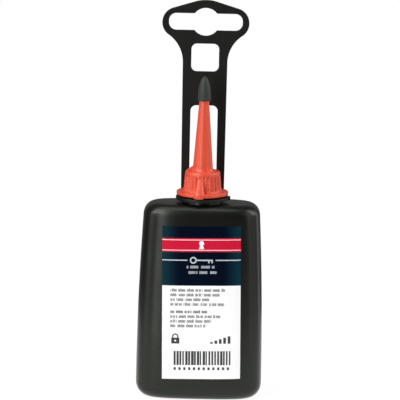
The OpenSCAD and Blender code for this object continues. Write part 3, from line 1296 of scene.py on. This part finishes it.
@dataclass(frozen=True)
class NozzleCap:
    """Screw cap with its flange, fluted skirt, roof, nozzle, tab and fins."""

    foot_z: float = 89.2
    mouth_edge: float = 0.2
    flange_top: float = 90.7
    flange_r: float = 11.2
    flange_edge: float = 0.3
    flange_slope: Flat = (0.9, 0.02)
    fillet: tuple[Flat, ...] = ((0.45, 0.0), (0.14, 0.1), (0.01, 0.3))
    skirt_foot_r: float = 8.3
    skirt_top_r: float = 7.6
    skirt_top: float = 98.7
    roof_z: float = 99.5
    roof_r: float = 7.1
    nozzle_foot_r: float = 4.45
    nozzle_tip_r: float = 1.6
    nozzle_top: float = 137.0
    flare_land: float = 0.35
    flare_w: float = 0.55
    flare_h: float = 1.8
    flare_up: float = 0.02
    tip_edge: float = 0.25
    tip_bevel: Flat = (0.06, 0.07)
    outlet_r: float = 0.55
    outlet_edge: float = 0.15
    passage_r: float = 3.0
    bore_r: float = 6.5
    ceiling: float = 98.25
    flutes: int = 28
    columns_per_flute: int = 10
    flute_half: float = 0.70
    flute_depth: float = 0.42
    flute_top: float = 97.9
    flute_fade: float = 0.5
    skirt_rows: int = 24
    nozzle_rows: int = 14
    round_steps: int = 4
    thread: Thread = Thread(foot_z=90.4, depth=0.75)
    bore_rows: int = 34
    tab_angle: float = -8.0
    tab_half: float = 2.3
    tab_top_half: float = 1.05
    tab_reach: float = 12.0
    tab_back: float = 7.25
    tab_foot: float = 88.8
    tab_foot_round: tuple[Flat, ...] = ((0.0, 0.25), (0.07, 0.07), (0.25, 0.0))
    tab_top_reach: float = 8.05
    tab_shoulder: float = 96.6
    tab_top: float = 97.2
    tab_top_inset: float = 0.62
    tab_top_turns: Numbers = (30.0, 55.0, 75.0)
    tab_rows: int = 10
    tab_corner: float = 1.5
    tab_corner_share: float = 0.8
    fin_angles: Numbers = (-62.0, 58.0, 178.0)
    fin_half: float = 0.5
    fin_edge: float = 0.2
    fin_outline: tuple[Flat, ...] = (
        (3.5, 99.0),
        (7.0, 99.0),
        (7.1, 99.4),
        (7.1, 99.65),
        (6.95, 99.78),
        (5.6, 100.75),
        (4.6, 101.45),
        (4.25, 101.7),
        (3.5, 101.8),
    )

    def nozzle_r(self, z: float) -> float:
        """Returns the nozzle's outer radius at height z."""
        share = (z - self.roof_z) / (self.nozzle_top - self.roof_z)
        return self.nozzle_foot_r + (self.nozzle_tip_r - self.nozzle_foot_r) * share

    def _ring(self, r: float, z: float, cut: float = 0.0, ridge: bool = False) -> list[Point]:
        """Makes one ring of the turned form.

        Args:
            r: Radius.
            z: Height.
            cut: Depth of the flutes at this height.
            ridge: Whether the thread's ridge stands in from this ring.

        Returns:
            The ring's points.
        """
        pitch, columns = FULL_TURN / self.flutes, self.flutes * self.columns_per_flute
        points = []
        for i in range(columns):
            turn = FULL_TURN * i / columns
            off = math.radians(abs(turn % pitch - pitch / 2)) * r
            flute = cut * (1 + math.cos(math.pi * min(1.0, off / self.flute_half))) / 2
            thread = self.thread.ridge(turn, z) if ridge else 0.0
            points.append((*polar(r - flute - thread, turn), z))
        return points

    def _flange(self) -> list[Flat]:
        """Draws the bore's mouth and the flange.

        Returns:
            Their profile, from the bore out and up to the skirt.
        """
        e, low, high = self.flange_edge, self.foot_z, self.flange_top
        mouth = self.mouth_edge
        profile = [(self.bore_r, low + mouth), (self.bore_r + mouth, low)]
        for centre_z, start in ((low + e, -90), (high - e, 0)):
            centre = (self.flange_r - e, centre_z)
            profile += arc(centre, e, start, start + 90, self.round_steps)
        profile.append((self.flange_r - self.flange_slope[0], high - self.flange_slope[1]))
        return profile + [(self.skirt_foot_r + out, high + up) for out, up in self.fillet]

    def _skirt(self) -> list[list[Point]]:
        """Sets out the skirt with its flutes.

        Returns:
            Its rings, from the fillet up.
        """
        low = self.flange_top + self.fillet[-1][1]
        rows = []
        for z in spread(low, self.skirt_top, self.skirt_rows)[1:]:
            share = (z - self.flange_top) / (self.skirt_top - self.flange_top)
            r = self.skirt_foot_r + (self.skirt_top_r - self.skirt_foot_r) * share
            fade = ease((z - low) / self.flute_fade) * ease((self.flute_top - z) / self.flute_fade)
            rows.append(self._ring(r, z, self.flute_depth * fade))
        return rows

    def _roof_and_nozzle(self) -> list[Flat]:
        """Draws the rounded rim, the roof and the nozzle.

        Returns:
            Their profile, from the skirt up to the nozzle's tip.
        """
        drop, rim = self.skirt_top_r - self.roof_r, self.roof_z - self.skirt_top
        turned = [polar(1.0, turn) for turn in spread(0, 90, self.round_steps)[1:]]
        profile = [(self.roof_r + drop * c, self.skirt_top + rim * s) for c, s in turned]
        foot_r, flare_end = self.nozzle_foot_r + self.flare_w, self.roof_z + self.flare_h
        end_r = self.nozzle_r(flare_end)
        profile.append((foot_r + self.flare_land, self.roof_z))
        for share in spread(0, 1, self.round_steps):
            r = end_r + (foot_r - end_r) * (1 - share) ** 2
            profile.append((r, self.roof_z + self.flare_h * share + self.flare_up))
        straight = spread(flare_end, self.nozzle_top - self.tip_edge, self.nozzle_rows)[1:]
        return profile + [(self.nozzle_r(z), z) for z in straight]

    def _inside(self) -> list[Flat]:
        """Draws the outlet, the passage through the nozzle and the ceiling.

        Returns:
            Their profile, from the nozzle's tip down to the bore.
        """
        tip, top, mouth = self.nozzle_tip_r, self.nozzle_top, self.mouth_edge
        profile = [
            (tip - self.tip_bevel[0], top - self.tip_bevel[1]),
            (tip - self.tip_edge, top),
            (self.outlet_r + self.outlet_edge, top),
            (self.outlet_r, top - self.outlet_edge),
        ]
        widening, depth = self.passage_r - self.outlet_r, top - self.ceiling
        for share in spread(0, 1, self.round_steps)[1:]:
            profile.append((self.outlet_r + widening * share, top - depth * share))
        return profile + [(self.bore_r - mouth, self.ceiling), (self.bore_r, self.ceiling - mouth)]

    def _tab(self) -> Piece:
        """Builds the tab as a closed wedge with rounded front corners.

        Returns:
            The tab's closed object.
        """
        maker = MeshMaker("cap_tab")
        levels = [(self.tab_foot + up, inset) for up, inset in self.tab_foot_round]
        straight = spread(self.flange_top, self.tab_shoulder, self.tab_rows)
        levels += [(z, 0.0) for z in straight]
        rise = self.tab_top - self.tab_shoulder
        for c, s in (polar(1.0, turn) for turn in self.tab_top_turns):
            levels.append((self.tab_shoulder + rise * s, self.tab_top_inset * (1 - c)))
        turn = Matrix.Rotation(math.radians(self.tab_angle - 180), 2)
        rows = []
        for z, inset in levels:
            share = max(0.0, (z - self.flange_top) / (self.tab_top - self.flange_top))
            half = self.tab_half + (self.tab_top_half - self.tab_half) * share - inset
            reach = self.tab_reach + (self.tab_top_reach - self.tab_reach) * share - inset
            r = min(self.tab_corner, half * self.tab_corner_share)
            outline = [(-half, self.tab_back), (half, self.tab_back)]
            outline += top_corners(half, reach, r, steps=6)
            rows.append([(*(turn @ Vector(point)), z) for point in outline])
        rings = maker.skin(rows)
        maker.bm.faces.new(rings[0])
        maker.bm.faces.new(rings[-1])
        return maker.finish()

    def _fin(self, angle: float) -> Piece:
        """Builds one fin in the corner between the nozzle and the roof.

        Args:
            angle: Direction of the fin from +X in degrees.

        Returns:
            The fin's closed object.
        """
        maker = MeshMaker("cap_fin")
        slab = Slab(-self.fin_half, self.fin_half, self.fin_edge, Axis.UPRIGHT, steps=3)
        c, s = polar(1.0, angle)

        def turned(u: float, v: float, w: float) -> Point:
            """Stands the slab up at the fin's angle."""
            return u * c - w * s, u * s + w * c, v

        slab.add(maker, self.fin_outline, place=turned)
        return maker.finish()

    def build(self) -> list[Piece]:
        """Builds and dresses the cap as one moulding.

        Returns:
            The cap's object in a list.
        """
        maker = MeshMaker("nozzle_cap_moulding")
        rows = [self._ring(r, z) for r, z in self._flange()] + self._skirt()
        rows += [self._ring(r, z) for r, z in self._roof_and_nozzle() + self._inside()]
        high, low = self.ceiling - self.mouth_edge, self.foot_z + self.mouth_edge
        threaded = spread(high, low, self.bore_rows)[1:-1]
        rows += [self._ring(self.bore_r, z, ridge=True) for z in threaded]
        maker.skin(rows, looped=True)
        cap = maker.finish()
        fuse(cap, [self._tab(), *(self._fin(angle) for angle in self.fin_angles)])
        dress(cap, RED_CAP.material())
        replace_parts(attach(cap, "cap"), "nozzle_cap")
        return [cap]


@dataclass(frozen=True)
class TipCap:
    """Bullet-shaped cap pushed on the nozzle's end, in millimetres."""

    foot_z: float = 130.3
    height: float = 10.5
    rim_r: float = 2.85
    power: float = 2.3
    nozzle_r_at_foot: float = 2.109
    nozzle_tip_r: float = 1.6
    nozzle_top: float = 137.0
    gap: float = 0.06
    edge: float = 0.14
    edge_share: float = 0.3
    hollow_edge: float = 0.1
    mouth_h: float = 0.15
    dome_shares: Numbers = (
        *(0.014, 0.05),
        *spread(0.1, 0.9, 16),
        *(0.94, 0.965, 0.985, 0.995),
    )
    columns: int = 96

    def build(self) -> list[Piece]:
        """Builds and dresses the tip cap.

        Returns:
            The cap's object in a list.
        """
        maker = MeshMaker("tip_cap_moulding")
        hollow_r, top_r = self.nozzle_r_at_foot + self.gap, self.nozzle_tip_r + self.gap
        hollow_top, cut = self.nozzle_top + self.gap, self.edge * self.edge_share
        profile = [
            (0.0, hollow_top),
            (top_r - self.hollow_edge, hollow_top),
            (top_r, hollow_top - self.hollow_edge),
            (hollow_r, self.foot_z + self.mouth_h),
            (hollow_r + self.hollow_edge, self.foot_z),
            (self.rim_r - self.edge, self.foot_z),
            (self.rim_r - cut, self.foot_z + cut),
        ]
        for share in self.dome_shares:
            r = self.rim_r * math.sqrt(1 - share**self.power)
            profile.append((r, self.foot_z + self.height * share))
        profile.append((0.0, self.foot_z + self.height))
        maker.skin(circle(r, z, self.columns) for r, z in profile)
        tip = maker.finish()
        dress(tip, GREY_TIP.material())
        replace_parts(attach(tip, "tip"), "tip_cap")
        return [tip]


@dataclass(frozen=True)
class Hanger:
    """Hanger with its ring, its film hinge and its upright plate, in millimetres."""

    ring_low: float = 87.1
    ring_high: float = 88.5
    ring_r: float = 11.45
    ring_bore_r: float = 7.0
    ring_edge: float = 0.22
    lug_w: float = 18.8
    lug_back: float = 12.1
    lug_corner: float = 0.8
    nub_w: float = 2.5
    nub_out: float = 12.2
    nub_corner: float = 0.3
    plate_front: float = 12.65
    plate_t: float = 1.5
    foot_flat: float = 0.04
    foot_rise: float = 0.4
    plate_edge: float = 0.22
    hinge_z: float = 87.8
    stem_w: float = 18.8
    stem_top_w: float = 19.4
    window: Point = (11.8, 35.2, 91.0)
    square: Point = (12.0, 12.2, 141.1)
    opening_corner: float = 2.4
    corner_steps: int = 8
    euro_z: float = 162.8
    euro_r: float = 6.1
    slot_w: float = 32.0
    slot_h: float = 7.4
    slot_corner: float = 3.2
    head_rim: float = 2.9
    head_drop: float = 0.4
    roof_slope: float = 17.0
    apex_r: float = 16.0
    flare_drop: float = 17.4
    film_w: float = 16.8
    film_t: float = 0.35
    film_swell: float = 0.5
    film_power: int = 3
    film_grip: float = 0.2
    film_steps: int = 12
    film_columns: int = 24

    @property
    def foot_z(self) -> float:
        """Returns the height of the plate's foot."""
        return self.hinge_z - self.plate_t / 2

    def _side(self) -> list[Flat]:
        """Draws the right half of the plate's head.

        Returns:
            Its outline, from the stem up to the apex.
        """
        end_x = self.slot_w / 2 - self.slot_h / 2
        end_r = self.slot_h / 2 + self.head_rim
        end_z = self.euro_z - self.head_drop
        step_x = end_x - self.stem_top_w / 2
        flare_r = (step_x**2 + self.flare_drop**2 - end_r**2) / (2 * (end_r + step_x))
        flare_x, flare_z = self.stem_top_w / 2 + flare_r, end_z - self.flare_drop
        meet = math.degrees(math.atan2(end_z - flare_z, end_x - flare_x))
        up = 90 - self.roof_slope
        cos_up, sin_up = polar(1.0, up)
        roof = end_x * cos_up + end_z * sin_up + end_r
        return [
            *arc((flare_x, flare_z), flare_r, 180, meet, steps=20),
            *arc((end_x, end_z), end_r, meet - 180, up, steps=30)[1:],
            *arc((0.0, (roof - self.apex_r) / sin_up), self.apex_r, up, 90, steps=8),
        ]

    def _plate_outline(self) -> list[Flat]:
        """Draws the whole plate.

        Returns:
            Its outline, counter-clockwise from the foot.
        """
        half = self.stem_w / 2
        side = [(half, self.foot_z), (half, self.hinge_z + self.foot_rise), *self._side()]
        return side + [(-x, z) for x, z in reversed(side[:-1])]

    def _opening(self, size: Point) -> list[Flat]:
        """Returns the clockwise outline of a round-cornered opening."""
        w, h, low = size
        return rounded_box(w / 2, low, low + h, self.opening_corner, self.corner_steps)[::-1]

    def _euro_hole(self) -> list[Flat]:
        """Draws the hanging hole with its slot.

        Returns:
            Its outline, clockwise.
        """
        half_h, centre, r = self.slot_h / 2, (0.0, self.euro_z), self.euro_r
        low, high = self.euro_z - half_h, self.euro_z + half_h
        slot = rounded_box(self.slot_w / 2, low, high, self.slot_corner, self.corner_steps)
        half = len(slot) // 2
        meet = math.degrees(math.asin(half_h / r))
        loop = [
            *arc(centre, r, meet - 180, -meet, steps=18),
            *slot[:half],
            *arc(centre, r, meet, 180 - meet, steps=18),
            *slot[half:],
        ]
        return loop[::-1]

    def plate(self) -> Piece:
        """Builds the upright plate with its rounded foot.

        Returns:
            The plate's object.
        """
        maker = MeshMaker("hanger_plate_moulding")
        back = self.plate_front + self.plate_t
        slab = Slab(self.plate_front, back, self.plate_edge, Axis.UPRIGHT, steps=5)

        def depth(point: Flat) -> float:
            """Rounds the foot over the plate's whole thickness and the rest a little."""
            at_foot = point[1] < self.foot_z + MM
            return (self.plate_t - self.foot_flat) / 2 if at_foot else self.plate_edge

        openings = [self._opening(self.window), self._opening(self.square), self._euro_hole()]
        slab.add(maker, self._plate_outline(), openings, depth)
        return maker.finish()

    def ring(self) -> Piece:
        """Builds the ring with its lug and its nub.

        Returns:
            The ring's object.
        """
        maker = MeshMaker("hanger_ring_moulding")
        slab = Slab(self.ring_low, self.ring_high, self.ring_edge, Axis.LEVEL, steps=4)
        lug_half, nub_half, centre, r = self.lug_w / 2, self.nub_w / 2, (0.0, 0.0), self.ring_r
        lug_meet = math.degrees(math.acos(lug_half / r))
        nub_meet = math.degrees(math.asin(nub_half / r))
        nub = rounded_box(self.nub_out, -nub_half, nub_half, self.nub_corner, steps=4)
        outline = [
            *arc(centre, r, 180 - lug_meet, FULL_TURN - nub_meet, steps=72),
            *nub[: len(nub) // 2],
            *arc(centre, r, nub_meet, lug_meet, steps=14),
            *top_corners(lug_half, self.lug_back, self.lug_corner, steps=6),
        ]
        bore = arc(centre, self.ring_bore_r, FULL_TURN, 0, steps=96)[:-1]
        slab.add(maker, outline, [bore])
        return maker.finish()

    def film(self) -> Piece:
        """Builds the thin web that joins the ring's lug to the plate's foot.

        Returns:
            The web's object.
        """
        maker = MeshMaker("hanger_film_hinge_web")
        across = spread(-self.film_w / 2, self.film_w / 2, self.film_columns)
        start, end = self.lug_back - self.film_grip, self.plate_front + self.film_grip
        rows = []
        for y in spread(start, end, self.film_steps):
            share = abs(2 * (y - start) / (end - start) - 1)
            t = self.film_t / 2 * (1 + self.film_swell * share**self.film_power)
            rows.append([[(x, y, self.hinge_z + up) for x in across] for up in (-t, t)])
        maker.sheet(rows)
        return maker.finish()

    def build(self) -> list[Piece]:
        """Builds and dresses the hanger.

        Returns:
            The ring, the web and the plate.
        """
        finish = BLACK_HANGER.material()
        ring, film, plate = self.ring(), self.film(), self.plate()
        for piece in (ring, film, plate):
            dress(piece, finish)
        flatten_shading(ring)
        flatten_shading(plate)
        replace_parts(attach(ring, "ring"), "hanger_ring")
        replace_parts(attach(plate, "plate"), "hanger_plate")
        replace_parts(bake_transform(film), "hanger_film_hinge")
        return [ring, film, plate]


class Seal:
    """Soft ring between the bottle's lip and the cap, which keeps its solid."""

    def build(self) -> list[Piece]:
        """Dresses the seal.

        Returns:
            The seal's own object in a list.
        """
        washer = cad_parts["sealing_washer"]
        dress(washer, SoftSeal().material())
        return [washer]


@dataclass(frozen=True)
class Softbox:
    """One soft lamp that looks at the object's middle, in metres and watts."""

    name: str
    place: Point
    size: Flat
    power: float
    aim: Point = (0.0, 0.0, 0.086)

    def add(self) -> None:
        """Puts the lamp into the scene."""
        lamp = bpy.data.lights.new(self.name, "AREA")
        lamp.shape = "RECTANGLE"
        lamp.size, lamp.size_y = self.size
        lamp.energy = self.power
        holder = bpy.data.objects.new(self.name, lamp)
        way = Vector(self.aim) - Vector(self.place)
        holder.rotation_euler = way.to_track_quat("-Z", "Y").to_euler()
        holder.location = self.place
        bpy.context.scene.collection.objects.link(holder)


@dataclass(frozen=True)
class Studio:
    """Pale floor, soft lamps, white background and the camera, in metres."""

    floor_r: float = 0.19
    floor_columns: int = 96
    floor_colour: Colour = (0.80, 0.80, 0.80, 1.0)
    shadow_colour: Colour = (0.16, 0.16, 0.16, 1.0)
    white: Colour = (1.0, 1.0, 1.0, 1.0)
    floor_glow: float = 0.90
    ambient: float = 0.22
    front_mirrored: float = 0.095
    back_mirrored: float = 0.18
    behind_range: Flat = (0.4, 1.0)
    camera_distance: float = 1.5
    camera_elevation: float = 10.0
    camera_roll: float = 1.2
    sensor: float = 36.0
    photo_width: float = 400.0
    metres_per_pixel: float = 0.000434
    aim: Point = (-0.00095, 0.0, 0.0866)
    lamps: tuple[Softbox, ...] = (
        Softbox("key_left", (-0.53, -0.90, 0.35), (0.34, 1.1), 4.1),
        Softbox("side_left", (-0.95, -0.45, 0.35), (0.50, 1.1), 2.3),
        Softbox("high_left", (-0.62, -0.46, 0.74), (0.60, 0.80), 5.8),
        Softbox("top", (-0.12, -0.16, 1.14), (1.00, 0.60), 2.7),
        Softbox("strip_right", (0.84, -0.62, 0.35), (0.26, 1.1), 1.15),
        Softbox("fill_right", (1.02, -0.26, 0.25), (0.50, 1.0), 1.0),
        Softbox("rim_right", (0.95, 0.42, 0.25), (0.50, 1.0), 1.7),
        Softbox("high_right", (0.84, 0.00, 0.66), (0.50, 0.80), 3.8),
    )

    @staticmethod
    def _rays(bench: Bench) -> tuple[Signal, Signal, Signal]:
        """Tells the kinds of rays apart.

        Args:
            bench: Tree that needs them.

        Returns:
            Masks of the rays from the camera, of a reflection and through a clear piece.
        """
        path = bench.node("ShaderNodeLightPath")
        names = ("Is Camera Ray", "Is Glossy Ray", "Is Transmission Ray")
        return tuple(Signal(bench, path.outputs[name]) for name in names)

    def _floor(self) -> None:
        """Lays the pale floor, which glows for the camera and keeps the shadow."""
        maker = MeshMaker("studio_floor")
        radii = [self.floor_r / MM * share for share in (0.0, 0.5, 1.0)]
        maker.skin(circle(r, 0.0, self.floor_columns) for r in radii)
        floor = maker.finish()
        bench = Bench(bpy.data.materials.new("studio_floor_finish"))
        plain = bench.node("ShaderNodeBsdfDiffuse", {"Color": self.floor_colour})
        shade = bench.node("ShaderNodeBsdfDiffuse", {"Color": self.shadow_colour})
        light = {"Color": self.white, "Strength": self.floor_glow}
        glow = bench.node("ShaderNodeEmission", light)
        seen = bench.node("ShaderNodeAddShader", {0: shade.outputs[0], 1: glow.outputs[0]})
        camera, glossy, clear = self._rays(bench)
        shaders = {0: camera | glossy | clear, 1: plain.outputs[0], 2: seen.outputs[0]}
        bench.output(bench.node("ShaderNodeMixShader", shaders))
        dress(floor, bench.owner)

    def _world(self) -> None:
        """Sets an even pale surround that is white to the camera."""
        world = bpy.data.worlds.new("studio_world")
        bpy.context.scene.world = world
        bench = Bench(world)
        camera, glossy, clear = self._rays(bench)
        _, back, _ = bench.parts(bench.node("ShaderNodeTexCoord").outputs["Generated"])
        behind = back.ramp(*self.behind_range)
        mirrored = self.front_mirrored + behind * (self.back_mirrored - self.front_mirrored)
        seen = camera | clear
        other = glossy * mirrored + (1 - glossy) * self.ambient
        light = {"Color": self.white, "Strength": seen + (1 - seen) * other}
        bench.output(bench.node("ShaderNodeBackground", light), "ShaderNodeOutputWorld")

    def _camera(self) -> None:
        """Stands the camera where the photograph was taken from."""
        data = bpy.data.cameras.new("photo_camera")
        data.sensor_width = self.sensor
        seen = self.metres_per_pixel * self.photo_width
        data.lens = self.sensor * self.camera_distance / seen
        camera = bpy.data.objects.new("photo_camera", data)
        back, up = polar(1.0, self.camera_elevation)
        away = Vector((0.0, -back, up))
        camera.location = Vector(self.aim) + away * self.camera_distance
        look = (-away).to_track_quat("-Z", "Y").to_matrix()
        roll = Matrix.Rotation(math.radians(self.camera_roll), 3, "Z")
        camera.rotation_euler = (look @ roll).to_euler()
        bpy.context.scene.collection.objects.link(camera)
        bpy.context.scene.camera = camera

    def build(self) -> None:
        """Sets the whole studio up."""
        bpy.context.scene.view_settings.view_transform = "Standard"
        self._camera()
        self._floor()
        self._world()
        for lamp in self.lamps:
            lamp.add()


def main() -> None:
    """Builds the studio and the object, and reports each piece."""
    logging.basicConfig(level=logging.INFO, format="%(name)s: %(message)s")
    Studio().build()
    for assembly in (Bottle(), Seal(), NozzleCap(), TipCap(), Hanger()):
        for piece in assembly.build():
            LOG.info("%s: %d faces", piece.name, len(piece.data.polygons))


if __name__ == "__main__":
    main()
